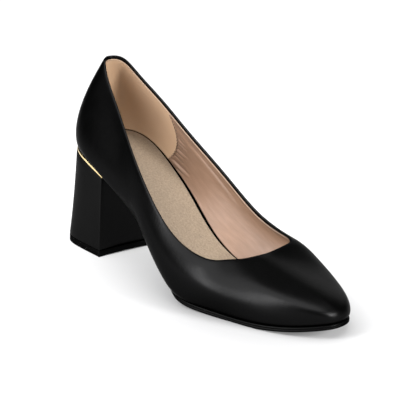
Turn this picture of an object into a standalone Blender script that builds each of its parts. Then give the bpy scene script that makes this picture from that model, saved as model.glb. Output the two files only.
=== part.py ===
"""Court shoe with a block heel: a right shoe, standing empty on its heel and forefoot.

The toe points along +X, the wearer's right is -Y and the floor is z = 0.
Sizes are in millimetres until a mesh is made, which is in metres.
"""

from collections import namedtuple

import bmesh
import bpy
import numpy as np

OBJECT_NAME = "block_heel_court_shoe"
MM = 0.001

# Driving sizes of the last, in millimetres
LAST_LENGTH = 237.0
BALL_WIDTH = 73.0
HEEL_PITCH = 68.5
BACK_HEIGHT = 126.0
TOE_SPRING = 6.5

# Material thicknesses and the gap between touching pieces
WALL = 1.8
TOP_ROLL = 0.5
LASTING_LAP = 1.8
LASTING_THICKNESS = 1.2
INSOLE_THICKNESS = 2.0
CLEARANCE = 0.3

# Outsole: the height of the feather line over the tread, from its own thickness
OUTSOLE_THICKNESS = 3.0
FEATHER_REST = OUTSOLE_THICKNESS + CLEARANCE

# Heel block and top piece
TOP_PIECE_THICKNESS = 4.5
HEEL_TOP_BREAST = 44.0
HEEL_BASE_BREAST = 39.0
HEEL_BASE_BACK = -8.0
HEEL_BASE_HALF_WIDTH = 25.6
HEEL_BACK_TAPER = 0.92
HEEL_SQUARENESS = 5.0
BREAST_HOLLOW = 1.6
TRIM_WIDTH = 2.2
TRIM_SETBACK = 0.3

# Mesh fineness
TURNS = 112
MERIDIAN_STEPS = 12
HEEL_SIDE_STEPS = 14
HEEL_LEVELS = 4
BREAST_STEPS = 6

# The bottom of the last: shares of the heel pitch and of the toe spring along its length (in %)
BottomRow = namedtuple("BottomRow", "along heel_share spring_share")
BOTTOM = [
    BottomRow(0.0, 1.000, 0.00),
    BottomRow(10.5, 0.920, 0.00),
    BottomRow(21.0, 0.770, 0.00),
    BottomRow(34.0, 0.535, 0.00),
    BottomRow(46.5, 0.242, 0.00),
    BottomRow(57.0, 0.057, 0.00),
    BottomRow(65.5, 0.016, 0.00),
    BottomRow(74.0, 0.000, 0.00),
    BottomRow(84.0, 0.000, 0.08),
    BottomRow(93.5, 0.000, 0.50),
    BottomRow(100.0, 0.000, 1.00),
]

# Feather line: half widths to the outer and inner side of the foot, in % of the ball width
FeatherRow = namedtuple("FeatherRow", "name along lateral medial")
FEATHER = [
    FeatherRow("back", 0.0, 0.0, 0.0),
    FeatherRow("round", 1.1, 18.5, 22.0),
    FeatherRow("seat", 6.2, 34.5, 37.0),
    FeatherRow("counter", 17.5, 41.0, 37.5),
    FeatherRow("shank", 33.0, 39.0, 30.0),
    FeatherRow("waist", 47.0, 43.2, 26.0),
    FeatherRow("instep", 58.5, 53.9, 37.0),
    FeatherRow("ball", 69.5, 46.4, 51.5),
    FeatherRow("fore", 81.5, 36.6, 50.5),
    FeatherRow("toe_side", 92.0, 23.0, 38.0),
    FeatherRow("toe_round", 98.5, 7.0, 20.0),
    FeatherRow("tip", 100.0, -4.0, 4.0),
]

# Topline over each feather station: % of length, of ball width and of back height
ToplineRow = namedtuple("ToplineRow", "name along lateral medial height")
TOPLINE = [
    ToplineRow("back", 4.0, -4.5, 4.5, 101.2),
    ToplineRow("round", 5.9, 5.3, 14.6, 100.6),
    ToplineRow("seat", 10.7, 13.5, 22.6, 93.0),
    ToplineRow("counter", 19.4, 22.8, 29.4, 80.9),
    ToplineRow("shank", 31.5, 36.4, 35.9, 64.5),
    ToplineRow("waist", 43.7, 46.6, 42.8, 48.3),
    ToplineRow("instep", 54.8, 48.8, 48.9, 33.9),
    ToplineRow("ball", 65.3, 45.0, 49.7, 27.9),
    ToplineRow("fore", 69.3, 31.6, 36.6, 26.8),
    ToplineRow("toe_side", 70.4, 17.5, 19.5, 26.3),
    ToplineRow("toe_round", 70.8, 7.0, 7.5, 26.2),
    ToplineRow("tip", 70.9, 0.0, 0.0, 26.3),
]

# How the wall swells between feather line and topline, in millimetres along its two handles
SwellRow = namedtuple("SwellRow", "name low_out low_up high_out high_drop")
SWELL = [
    SwellRow("back", 7.0, 17.0, 7.9, 18.0),
    SwellRow("round", 6.6, 17.0, 9.9, 14.8),
    SwellRow("seat", 5.4, 16.0, 8.5, 14.6),
    SwellRow("counter", 5.4, 14.0, 5.8, 12.5),
    SwellRow("shank", 7.7, 9.4, 4.4, 14.5),
    SwellRow("waist", 9.5, 7.3, 5.5, 12.8),
    SwellRow("instep", 9.0, 9.5, 6.0, 10.0),
    SwellRow("ball", 6.8, 12.4, 12.4, 3.0),
    SwellRow("fore", 4.6, 15.1, 22.4, 3.1),
    SwellRow("toe_side", 3.9, 14.2, 32.8, 7.1),
    SwellRow("toe_round", 4.6, 13.2, 39.1, 9.8),
    SwellRow("tip", 4.8, 15.2, 42.7, 9.3),
]

# The outer side's own rows of swell: its vamp falls away in a rounder shoulder than over the big toe
LATERAL_SWELL = [
    SwellRow("instep", 9.2, 10.5, 8.0, 9.2),
    SwellRow("ball", 6.6, 14.0, 18.5, 7.8),
    SwellRow("fore", 6.6, 12.4, 17.2, 9.0),
    SwellRow("toe_side", 6.2, 11.9, 25.0, 7.0),
    SwellRow("toe_round", 6.2, 15.5, 37.0, 9.3),
]

# Sole edge: millimetres that it stands out from the feather line, and its share of the sole's thickness
EdgeRow = namedtuple("EdgeRow", "along stand_out thickness_share")
SOLE_EDGE = [
    EdgeRow(0.0, -2.5, 0.75),
    EdgeRow(18.5, -5.2, 0.75),
    EdgeRow(30.0, -5.0, 0.80),
    EdgeRow(47.0, -4.0, 0.95),
    EdgeRow(57.0, -0.6, 1.05),
    EdgeRow(70.0, 0.2, 1.13),
    EdgeRow(82.0, 0.2, 1.13),
    EdgeRow(100.0, 0.2, 0.95),
]

# Heel band: millimetres that its outer edge stands out from the feather line
SeatRow = namedtuple("SeatRow", "along stand_out")
SEAT_EDGE = [
    SeatRow(0.0, 0.0),
    SeatRow(9.0, -0.6),
    SeatRow(18.5, -2.7),
]


def column(table, name):
    """One named column of a table."""
    return np.array([getattr(row, name) for row in table])


def curve_through(knots, values, query, period=None):
    """Cubic curve through the rows of a table, closed on itself when a period is given."""
    knots = np.asarray(knots, float)
    values = np.asarray(values, float)
    if period:
        knots = np.append(knots, knots[0] + period)
        values = np.append(values, values[0])
    count = len(knots)
    step = np.diff(knots)
    slope = np.diff(values) / step
    system = np.zeros((count, count))
    target = np.zeros(count)
    for row in range(1, count - 1):
        system[row, row - 1:row + 2] = step[row - 1], 2 * (step[row - 1] + step[row]), step[row]
        target[row] = 6 * (slope[row] - slope[row - 1])
    system[0, 0] = 1
    system[-1, -1] = 1
    if period:
        system[0, -1] = -1
        system[-1, :2] = 2 * step[0], step[0]
        system[-1, -2:] = step[-1], 2 * step[-1]
        target[-1] = 6 * (slope[0] - slope[-1])
    bend = np.linalg.solve(system, target)
    query = np.asarray(query, float)
    span = np.clip(np.searchsorted(knots, query, side="right") - 1, 0, count - 2)
    near = (knots[span + 1] - query) / step[span]
    far = 1 - near
    bow = (near**3 - near) * bend[span] + (far**3 - far) * bend[span + 1]
    return near * values[span] + far * values[span + 1] + bow * step[span]**2 / 6


def table_value(table, name, along):
    """A column read at distances along the last, in millimetres."""
    shares = np.clip(np.asarray(along) / LAST_LENGTH * 100, 0, 100)
    return np.interp(shares, column(table, "along"), column(table, name))


def bottom_height(along):
    """Height of the feather line over the floor."""
    shares = np.asarray(along) / LAST_LENGTH * 100
    lift = HEEL_PITCH * column(BOTTOM, "heel_share") + TOE_SPRING * column(BOTTOM, "spring_share")
    return FEATHER_REST + curve_through(column(BOTTOM, "along"), lift, shares)


def upright(thickness, along):
    """Vertical measure of a thickness that lies square to the sloping bottom."""
    slope = bottom_height(along + 0.5) - bottom_height(along - 0.5)
    return thickness * np.sqrt(1 + slope**2)


def sole_thickness(along):
    """Vertical thickness of the outsole before its tread is cut flat on the floor."""
    return upright(OUTSOLE_THICKNESS * table_value(SOLE_EDGE, "thickness_share", along), along)


def turn_of(along):
    """Turn around the feather line at which it has come a distance along the last."""
    return np.arccos(1 - 2 * np.asarray(along) / LAST_LENGTH)


def around(lateral, medial, turns):
    """A closed curve through station values: down the lateral side, back up the medial one."""
    stations = turn_of(column(FEATHER, "along") / 100 * LAST_LENGTH)
    knots = np.concatenate([stations, 2 * np.pi - stations[-2:0:-1]])
    values = np.concatenate([lateral, medial[-2:0:-1]])
    return curve_through(knots, values, turns, period=2 * np.pi)


def feather_line(turns):
    """Plan points of the feather line and its outward plan normals."""
    width = BALL_WIDTH / 100
    lateral = -width * column(FEATHER, "lateral")
    medial = width * column(FEATHER, "medial")
    nudge = 0.001
    along = LAST_LENGTH / 2 * (1 - np.cos(turns))
    across = around(lateral, medial, turns)
    run_along = LAST_LENGTH / 2 * np.sin(turns)
    run_across = (around(lateral, medial, (turns + nudge) % (2 * np.pi)) - across) / nudge
    normal = np.stack([run_across, -run_along], axis=1)
    normal /= np.linalg.norm(normal, axis=1)[:, None]
    return np.stack([along, across], axis=1), normal


def on_bottom(plan, drop=0.0):
    """Plan points set on the bottom of the last, lowered by a drop."""
    along = plan[:, 0]
    return np.column_stack([plan, bottom_height(along) - drop])


def outline(turns, stand_out):
    """The feather line's plan, moved outwards."""
    plan, normal = feather_line(turns)
    return plan + normal * np.reshape(stand_out, (-1, 1))


def all_turns():
    """Even turns all the way round."""
    return np.linspace(0, 2 * np.pi, TURNS, endpoint=False)


def lateral_swell():
    """Swell rows of the outer side: its own where it has them, else those of the table for both sides."""
    own = {row.name: row for row in LATERAL_SWELL}
    return [own.get(row.name, row) for row in SWELL]


def wall_handles(turns):
    """The four handle loops of the upper's outer face, from feather line to topline."""
    plan, normal = feather_line(turns)
    feather = on_bottom(plan)
    width = BALL_WIDTH / 100
    top_along = column(TOPLINE, "along") / 100 * LAST_LENGTH
    top_height = column(TOPLINE, "height") / 100 * BACK_HEIGHT
    top_lateral = -width * column(TOPLINE, "lateral")
    top_medial = width * column(TOPLINE, "medial")
    topline = np.column_stack([
        around(top_along, top_along, turns),
        around(top_lateral, top_medial, turns),
        around(top_height, top_height, turns),
    ])
    swell = {name: around(column(lateral_swell(), name), column(SWELL, name), turns)[:, None]
             for name in SwellRow._fields[1:]}
    outward = np.column_stack([normal, np.zeros(len(turns))])
    upward = np.array([0.0, 0.0, 1.0])
    low = feather + outward * swell["low_out"] + upward * swell["low_up"]
    high = topline + outward * swell["high_out"] - upward * swell["high_drop"]
    return feather, low, high, topline


def outer_wall(turns):
    """Grid of points on the upper's outer face: a row per turn, a column per step up the wall."""
    rise = np.linspace(0, 1, MERIDIAN_STEPS + 1)[None, :, None]
    feather, low, high, topline = (loop[:, None, :] for loop in wall_handles(turns))
    return ((1 - rise)**3 * feather + 3 * (1 - rise)**2 * rise * low
            + 3 * (1 - rise) * rise**2 * high + rise**3 * topline)


def wall_normals(grid):
    """Outward unit normals of a grid that is closed around the shoe."""
    run_round = np.roll(grid, -1, axis=0) - np.roll(grid, 1, axis=0)
    run_up = np.gradient(grid, axis=1)
    normal = np.cross(run_up, run_round)
    return -normal / np.linalg.norm(normal, axis=2)[:, :, None]


def upper_sections():
    """Closed wall sections: up the outer face, over the topline, down inside and under the insole."""
    turns = all_turns()
    outer = outer_wall(turns)
    inner = outer - WALL * wall_normals(outer)
    inner[:, 0] = on_bottom(outline(turns, -WALL), -LASTING_THICKNESS)
    sole_edge = table_value(SOLE_EDGE, "stand_out", outer[:, 0, 0])
    margin_plan = outline(turns, np.minimum(sole_edge, -WALL) - LASTING_LAP)
    margin = np.stack([on_bottom(margin_plan, -LASTING_THICKNESS), on_bottom(margin_plan)], axis=1)
    climb = outer[:, -1] - outer[:, -2]
    climb /= np.linalg.norm(climb, axis=1)[:, None]
    roll = (outer[:, -1] + inner[:, -1]) / 2 + climb * TOP_ROLL
    return np.concatenate([outer, roll[:, None], inner[:, ::-1], margin], axis=1)


def sole_rings():
    """Top and bottom outline of the outsole, with its tread cut flat on the floor."""
    turns = all_turns()
    reach = feather_line(turns)[0][:, 0]
    plan = outline(turns, table_value(SOLE_EDGE, "stand_out", reach))
    along = plan[:, 0]
    gap = upright(CLEARANCE, along)
    top = on_bottom(plan, gap)
    bottom = on_bottom(plan, gap + sole_thickness(along))
    bottom[:, 2] = np.maximum(bottom[:, 2], 0)
    return top, bottom


def insole_rings():
    """Top and bottom outline of the insole, inside the wall and over its turned-in margin."""
    turns = all_turns()
    plan = outline(turns, -WALL - CLEARANCE)
    along = plan[:, 0]
    seat = LASTING_THICKNESS + upright(CLEARANCE, along)
    return on_bottom(plan, -seat - upright(INSOLE_THICKNESS, along)), on_bottom(plan, -seat)


def heel_turns():
    """Turns from one breast corner round the back to the other."""
    corner = turn_of(HEEL_TOP_BREAST)
    return np.linspace(-corner, corner, 2 * HEEL_SIDE_STEPS + 1)


def seat_outline(extra):
    """Plan of the heel seat from breast corner to breast corner, moved outwards by extra."""
    turns = heel_turns() % (2 * np.pi)
    reach = feather_line(turns)[0][:, 0]
    return outline(turns, table_value(SEAT_EDGE, "stand_out", reach) + extra)


def trim_sections():
    """Four-cornered sections of the band that wraps the heel seat."""
    outer = seat_outline(0.0)
    inner = seat_outline(-TRIM_WIDTH)
    sections = []
    for plan, face in ((outer, "top"), (outer, "bottom"), (inner, "bottom"), (inner, "top")):
        along = plan[:, 0]
        drop = upright(CLEARANCE, along)
        if face == "bottom":
            drop = drop + sole_thickness(along)
        sections.append(on_bottom(plan, drop))
    return np.stack(sections, axis=1)


def base_outline():
    """Plan of the heel's base from breast corner to breast corner: a rounded square, narrower behind."""
    sweep = np.linspace(-1, 1, 2 * HEEL_SIDE_STEPS + 1)
    share = 1 - np.cos(sweep * np.pi / 2)
    along = HEEL_BASE_BACK + (HEEL_BASE_BREAST - HEEL_BASE_BACK) * share
    taper = HEEL_BACK_TAPER + (1 - HEEL_BACK_TAPER) * share
    bulge = (1 - (1 - share)**HEEL_SQUARENESS)**(1 / HEEL_SQUARENESS)
    across = -np.sign(sweep) * HEEL_BASE_HALF_WIDTH * taper * bulge
    return np.stack([along, across], axis=1)


def breast_line(start, end):
    """Points across the hollow breast between two corners, without the corners."""
    share = np.linspace(0, 1, BREAST_STEPS + 1)[1:-1, None]
    line = start + (end - start) * share
    line[:, 0] -= (4 * BREAST_HOLLOW * share * (1 - share))[:, 0]
    return line


def heel_ring(level):
    """Outline of the heel block at a level from 0, the base, to 1, the seat."""
    base = base_outline()
    seat = seat_outline(TRIM_SETBACK)
    plan = base + (seat - base) * level
    plan = np.concatenate([plan, breast_line(plan[-1], plan[0])])
    seat_plan = np.concatenate([seat, breast_line(seat[-1], seat[0])])
    along = seat_plan[:, 0]
    seat_height = bottom_height(along) - sole_thickness(along) - upright(2 * CLEARANCE, along)
    base_height = TOP_PIECE_THICKNESS + CLEARANCE
    return np.column_stack([plan, base_height + (seat_height - base_height) * level])


def top_piece_ring(height):
    """Outline of the top piece under the heel at a height over the floor."""
    base = base_outline()
    plan = np.concatenate([base, breast_line(base[-1], base[0])])
    return np.column_stack([plan, np.full(len(plan), height)])


def cap_pairs(bm, ring, pairs, flip):
    """Close a long ring with strips between points that face each other across it."""
    for (right, left), (next_right, next_left) in zip(pairs, pairs[1:]):
        corners = [right, next_right, next_left, left]
        corners = list(dict.fromkeys(corners))
        if flip:
            corners.reverse()
        bm.faces.new([ring[corner] for corner in corners])


def skin_rings(bm, rings, closed):
    """Join neighbouring rings of equal count with quads."""
    count = len(rings[0])
    followers = rings[1:] + rings[:1] if closed else rings[1:]
    for ring, follower in zip(rings, followers):
        for spot in range(count):
            after = (spot + 1) % count
            bm.faces.new((ring[spot], ring[after], follower[after], follower[spot]))


def add_rings(bm, loops):
    """Vertices for each loop of points, in metres."""
    return [[bm.verts.new(point * MM) for point in loop] for loop in loops]


def ring_solid(loops):
    """A solid whose closed sections run on round a closed path."""
    bm = bmesh.new()
    skin_rings(bm, add_rings(bm, loops), closed=True)
    return bm


def capped_solid(loops):
    """A solid through open-ended sections, with flat end faces."""
    bm = bmesh.new()
    rings = add_rings(bm, loops)
    skin_rings(bm, rings, closed=False)
    bm.faces.new(rings[0])
    bm.faces.new(rings[-1])
    return bm


def plate_solid(top, bottom):
    """A full-length plate between two outlines, capped by strips across the foot."""
    bm = bmesh.new()
    rings = add_rings(bm, (top, bottom))
    skin_rings(bm, rings, closed=False)
    half = TURNS // 2
    pairs = [(spot, (TURNS - spot) % TURNS) for spot in range(half + 1)]
    cap_pairs(bm, rings[0], pairs, flip=False)
    cap_pairs(bm, rings[1], pairs, flip=True)
    return bm


def block_solid(loops):
    """A heel-shaped block: strips across the seat end, one flat face at the other."""
    bm = bmesh.new()
    rings = add_rings(bm, loops)
    skin_rings(bm, rings, closed=False)
    bm.faces.new(rings[0])
    last = 2 * HEEL_SIDE_STEPS
    pairs = [(HEEL_SIDE_STEPS + spot, HEEL_SIDE_STEPS - spot) for spot in range(HEEL_SIDE_STEPS)]
    cap_pairs(bm, rings[-1], pairs, flip=False)
    breast = [rings[-1][spot] for spot in range(last, len(rings[-1]))]
    bm.faces.new([rings[-1][last - 1]] + breast + [rings[-1][0], rings[-1][1]])
    return bm


def plain_finish(name, colour, roughness, metallic=0.0):
    """A plain Principled material."""
    material = bpy.data.materials.new(name)
    material.use_nodes = True
    shader = material.node_tree.nodes["Principled BSDF"]
    shader.inputs["Base Color"].default_value = (*colour, 1.0)
    shader.inputs["Roughness"].default_value = roughness
    shader.inputs["Metallic"].default_value = metallic
    return material


def add_piece(name, bm, material, collection, crease_angle):
    """Turn a bmesh into a named, shaded object."""
    bmesh.ops.recalc_face_normals(bm, faces=bm.faces)
    mesh = bpy.data.meshes.new(name)
    bm.to_mesh(mesh)
    bm.free()
    mesh.materials.append(material)
    mesh.shade_smooth()
    mesh.set_sharp_from_angle(angle=np.radians(crease_angle))
    piece = bpy.data.objects.new(name, mesh)
    collection.objects.link(piece)
    return piece


def centre_on_floor(pieces):
    """Move every mesh so that the shoe's box is centred on the origin, level kept."""
    points = np.array([vertex.co for piece in pieces for vertex in piece.data.vertices])
    middle = (points.min(axis=0) + points.max(axis=0)) / 2
    for piece in pieces:
        for vertex in piece.data.vertices:
            vertex.co.x -= middle[0]
            vertex.co.y -= middle[1]


def main():
    """Clear the scene and build the shoe."""
    for old in list(bpy.data.objects):
        bpy.data.objects.remove(old, do_unlink=True)
    shoe = bpy.data.collections.new(OBJECT_NAME)
    bpy.context.scene.collection.children.link(shoe)

    black_leather = plain_finish("black_leather", (0.012, 0.012, 0.013), 0.38)
    heel_leather = plain_finish("heel_cover_leather", (0.016, 0.016, 0.017), 0.42)
    sock_leather = plain_finish("sock_leather", (0.50, 0.38, 0.26), 0.60)
    sole_rubber = plain_finish("sole_rubber", (0.015, 0.015, 0.016), 0.60)
    top_piece_rubber = plain_finish("top_piece_rubber", (0.020, 0.020, 0.021), 0.65)
    gold_metal = plain_finish("gold_metal", (0.85, 0.62, 0.27), 0.22, metallic=1.0)

    upper = add_piece("upper", ring_solid(upper_sections()), black_leather, shoe, 60)
    insole = add_piece("insole", plate_solid(*insole_rings()), sock_leather, shoe, 40)
    outsole = add_piece("outsole", plate_solid(*sole_rings()), sole_rubber, shoe, 40)
    levels = [heel_ring(level) for level in np.linspace(0, 1, HEEL_LEVELS + 1)]
    heel = add_piece("heel", block_solid(levels), heel_leather, shoe, 35)
    trim = add_piece("heel_trim", capped_solid(trim_sections()), gold_metal, shoe, 40)
    tip_rings = [top_piece_ring(height) for height in (0.0, TOP_PIECE_THICKNESS)]
    tip = add_piece("heel_tip", block_solid(tip_rings), top_piece_rubber, shoe, 35)
    centre_on_floor([upper, insole, outsole, heel, trim, tip])


main()
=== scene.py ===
# %% [markdown]
# # A court shoe with a block heel
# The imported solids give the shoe's size and form: a hollow black upper, an insole, a thin outsole, a
# covered heel with a gold band, and a top piece under it. This lesson dresses each of them, adds the lining
# that the maker glues and sews into the upper, and lights the shoe as on a white table.

import math
from collections import namedtuple

import bmesh
import bpy
import numpy as np
from mathutils import Matrix, Vector


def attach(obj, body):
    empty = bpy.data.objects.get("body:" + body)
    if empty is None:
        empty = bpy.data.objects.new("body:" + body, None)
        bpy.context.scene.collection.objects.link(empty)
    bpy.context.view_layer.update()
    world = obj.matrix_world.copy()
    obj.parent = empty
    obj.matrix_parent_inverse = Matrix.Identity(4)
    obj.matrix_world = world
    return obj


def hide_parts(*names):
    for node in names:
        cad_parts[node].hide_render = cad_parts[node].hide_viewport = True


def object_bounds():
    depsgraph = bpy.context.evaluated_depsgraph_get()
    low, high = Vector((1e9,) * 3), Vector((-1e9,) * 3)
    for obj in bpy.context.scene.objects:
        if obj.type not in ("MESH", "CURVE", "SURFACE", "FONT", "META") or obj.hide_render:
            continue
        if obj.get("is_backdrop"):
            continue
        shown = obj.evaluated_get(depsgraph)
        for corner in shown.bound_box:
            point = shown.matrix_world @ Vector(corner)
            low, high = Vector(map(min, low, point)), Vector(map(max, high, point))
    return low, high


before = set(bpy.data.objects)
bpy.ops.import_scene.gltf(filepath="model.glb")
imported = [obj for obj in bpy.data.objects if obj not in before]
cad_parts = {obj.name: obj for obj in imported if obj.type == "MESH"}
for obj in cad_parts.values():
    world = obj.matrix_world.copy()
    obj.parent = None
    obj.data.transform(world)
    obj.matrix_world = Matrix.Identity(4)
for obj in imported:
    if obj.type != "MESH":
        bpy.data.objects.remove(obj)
cad_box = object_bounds()
MM = 0.001
print("nodes:", sorted(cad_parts))

# %% [markdown]
# ## Reading the wall back from its triangles
# The upper's solid is a ring of closed sections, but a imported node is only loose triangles. Its corners are
# merged first. Every corner then has six neighbours, so a line that always leaves by the spoke opposite to
# the one it came in by runs straight on: round the shoe, round a section, or diagonally. The shortest
# closed line is a section and the next one a ring, and together they give the whole wall as a table of
# points. A section's points are the top edge, the outer face downwards, two at the foot, and the inner face
# upwards.

# %% Merge a copy of a node and walk its lines
WELD = 0.002 * MM
OPPOSITE_SPOKE = 3
TOP_AND_FOOT = 3


def merged_copy(node):
    """The node's triangles as a bmesh with their shared corners merged."""
    bm = bmesh.new()
    bm.from_mesh(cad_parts[node].data)
    bmesh.ops.remove_doubles(bm, verts=bm.verts, dist=WELD)
    return bm


def spokes(corner, first):
    """The corner's neighbours in turning order, starting with first."""
    order = [first]
    while True:
        loop = next(loop for loop in corner.link_loops if loop.link_loop_next.vert == order[-1])
        following = loop.link_loop_prev.vert
        if following == first:
            return order
        order.append(following)


def straight_line(start, step):
    """Corners met by going straight on from start until the line is back there."""
    path = [start, step]
    while True:
        ahead = spokes(path[-1], path[-2])[OPPOSITE_SPOKE]
        if ahead == start:
            return path
        path.append(ahead)


def wall_table(bm):
    """The wall's points: a row per turn round the shoe, a column per point of its section."""
    top = max(bm.verts, key=lambda corner: corner.co.z)
    lines = sorted((straight_line(top, edge.other_vert(top)) for edge in top.link_edges), key=len)
    section = min(lines[:2], key=lambda line: line[1].co.x)
    ring = min(lines[2:4], key=lambda line: line[1].co.y)
    side = spokes(top, ring[1]).index(section[1])
    rows = [straight_line(here, spokes(here, ahead)[side]) for here, ahead in zip(ring, ring[1:] + ring[:1])]
    return np.array([[corner.co for corner in row] for row in rows])


upper_solid = merged_copy("upper")
wall = wall_table(upper_solid)
upper_solid.free()
TURNS, SECTION = wall.shape[:2]
FACE = (SECTION - TOP_AND_FOOT) // 2
OUTER = slice(1, 1 + FACE)
inner_face = wall[:, :-1 - FACE:-1]
print("turns:", TURNS, "points of a section:", SECTION, "points down each face:", FACE)

# %% [markdown]
# ## Smooth curves and bent grids
# Two helpers do most of the shaping. The first puts points of a smooth curve between the rows of a table,
# so that a coarse table gives a fine surface. The second takes Blender's own flat grid, as a clicker cuts a
# flat piece of leather, and moves each of its points to a place in a table. Where the ends of the grid
# meet, the doubled points are merged, which closes the seam.

# %% Put smooth points between rows


def finer(rows, times, closed):
    """Rows of points with a smooth curve's points put between them."""
    if closed:
        padded = np.concatenate([rows[-1:], rows, rows[:2]])
    else:
        padded = np.concatenate([2 * rows[:1] - rows[1:2], rows, 2 * rows[-1:] - rows[-2:-1]])
    before, here, after, beyond = padded[:-3], padded[1:-2], padded[2:-1], padded[3:]
    steps = []
    for share in np.arange(times) / times:
        square, cube = share**2, share**3
        steps.append(0.5 * ((2 * square - share - cube) * before + (2 - 5 * square + 3 * cube) * here
                            + (share + 4 * square - 3 * cube) * after + (cube - square) * beyond))
    fine = np.stack(steps, axis=1).reshape(-1, *rows.shape[1:])
    return fine if closed else np.concatenate([fine, rows[-1:]])


def finer_across(table, times):
    """The same along the other side of a table that is open there."""
    return np.swapaxes(finer(np.swapaxes(table, 0, 1), times, closed=False), 0, 1)


# %% Lay a grid on a table


def lay_grid(bm, places, closed_rows=False, closed_columns=False, painted_shade=None):
    """Adds a grid with its points moved to a table's places; closed sides come back to their start.

    A painted_shade gives each column's value of the painted_shade attribute, which paints shade on the mesh.
    """
    layer = bm.verts.layers.float.new("painted_shade") if painted_shade is not None else None
    if closed_rows:
        places = np.concatenate([places, places[:1]])
    if closed_columns:
        places = np.concatenate([places, places[:, :1]], axis=1)
    rows, columns = places.shape[0] - 1, places.shape[1] - 1
    made = bmesh.ops.create_grid(bm, x_segments=columns, y_segments=rows, size=1)
    for vert in made["verts"]:
        row = round((vert.co.y + 1) / 2 * rows)
        column = round((vert.co.x + 1) / 2 * columns)
        vert.co = places[row, column]
        if painted_shade is not None:
            vert[layer] = painted_shade[column % len(painted_shade)]


def close_up(bm):
    """Merges the points that lie on each other and turns a closed skin's faces outwards."""
    bmesh.ops.remove_doubles(bm, verts=bm.verts, dist=WELD)
    bmesh.ops.dissolve_degenerate(bm, edges=bm.edges, dist=WELD)
    bmesh.ops.recalc_face_normals(bm, faces=bm.faces)


def unit(vectors):
    """Vectors of length one."""
    return vectors / np.maximum(np.linalg.norm(vectors, axis=-1, keepdims=True), 1e-12)


# %% [markdown]
# ## From a mesh to a piece
# Every piece ends the same way: its mesh gets a finish and smooth shading and rides on the shoe's one body,
# and any solid that it replaces is hidden. Its object stays at the origin, with its place in the mesh, so
# that a texture on Object coordinates doesn't slide.

# %% Make a piece from a bmesh


def add_piece(name, bm, finish, replaces=(), smooth_levels=0, sharp_angle=None):
    """A piece of the shoe from a bmesh: shaded smooth, riding on the shoe's one body."""
    mesh = bpy.data.meshes.new(name)
    bm.to_mesh(mesh)
    bm.free()
    mesh.materials.append(finish)
    mesh.shade_smooth()
    if sharp_angle:
        mesh.set_sharp_from_angle(angle=math.radians(sharp_angle))
    piece = bpy.data.objects.new(name, mesh)
    bpy.context.scene.collection.objects.link(piece)
    if smooth_levels:
        smoothing = piece.modifiers.new("smooth", "SUBSURF")
        smoothing.levels = smooth_levels
        smoothing.render_levels = smooth_levels
    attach(piece, "root")
    if replaces:
        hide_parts(*replaces)
    print(f"{name}: {len(mesh.polygons)} faces before smoothing")


# %% [markdown]
# ## Finishes
# A finish is a Principled shader with a few textures in front of it. All of them read Object coordinates,
# which are metres here, so a texture scale of 2000 means half-millimetre grain wherever the piece lies. A
# noise texture keeps mostly to the middle of its range, so that part is what a finish spreads out.

# %% Start a finish and link nodes to it


def new_finish(name, roughness, **sockets):
    """A Principled material; sockets are given in lower case with underscores."""
    material = bpy.data.materials.new(name)
    material.use_nodes = True
    shader = material.node_tree.nodes["Principled BSDF"]
    shader.inputs["Roughness"].default_value = roughness
    for socket, value in sockets.items():
        shader.inputs[socket.replace("_", " ").title().replace("Ior", "IOR")].default_value = value
    print("finish:", name)
    return material


def add_node(tree, kind, links=None, **inputs):
    """A node with its input values set and other nodes' outputs linked in."""
    node = tree.nodes.new(kind)
    for socket, value in inputs.items():
        node.inputs[socket].default_value = value
    for socket, source in (links or {}).items():
        tree.links.new(source, node.inputs[socket])
    return node


def feed(material, **links):
    """Links texture outputs to the shader's sockets."""
    tree = material.node_tree
    for socket, source in links.items():
        tree.links.new(source, tree.nodes["Principled BSDF"].inputs[socket.replace("_", " ").title()])


# %% Textures for finishes
NOISE_RANGE = (0.3, 0.7)
FULL_RANGE = (0.0, 1.0)


def places_on(tree, stretch=(1.0, 1.0, 1.0), turn=(0.0, 0.0, 0.0), shift=(0.0, 0.0, 0.0)):
    """Object coordinates for a texture that is stretched along its own axes, turned and shifted."""
    source = tree.nodes.new("ShaderNodeTexCoord").outputs["Object"]
    mapping = add_node(tree, "ShaderNodeMapping", {"Vector": source},
                       Scale=stretch, Rotation=turn, Location=shift)
    mapping.vector_type = "TEXTURE"
    return mapping.outputs["Vector"]


def noise(tree, places, scale, detail=4.0, roughness=0.6):
    """A noise texture's value."""
    return add_node(tree, "ShaderNodeTexNoise", {"Vector": places}, Scale=scale, Detail=detail,
                    Roughness=roughness).outputs["Fac"]


def spread(tree, value, known, wanted):
    """A value mapped from a known range to a wanted one."""
    ends = {"From Min": known[0], "From Max": known[1], "To Min": wanted[0], "To Max": wanted[1]}
    return add_node(tree, "ShaderNodeMapRange", {"Value": value}, **ends).outputs["Result"]


def pores(tree, places, scale, crack=0.3):
    """Leather's little cells: 0 in the cracks between them, rising to 1 over a crack's width."""
    cells = add_node(tree, "ShaderNodeTexVoronoi", {"Vector": places}, Scale=scale)
    cells.feature = "DISTANCE_TO_EDGE"
    return spread(tree, cells.outputs["Distance"], (0.0, crack), FULL_RANGE)


# %% Colours and bumps from textures


def tint(tree, value, dark, light):
    """A colour between two, by a value from 0 to 1."""
    ramp = add_node(tree, "ShaderNodeValToRGB", {"Fac": value})
    ramp.color_ramp.elements[0].color = (*dark, 1)
    ramp.color_ramp.elements[1].color = (*light, 1)
    return ramp.outputs["Color"]


def bumps(tree, height, strength, depth, under=None):
    """A bump from a height texture, laid over another bump where there is one."""
    links = {"Height": height}
    if under:
        links["Normal"] = under
    return add_node(tree, "ShaderNodeBump", links, Strength=strength, Distance=depth).outputs["Normal"]
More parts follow.
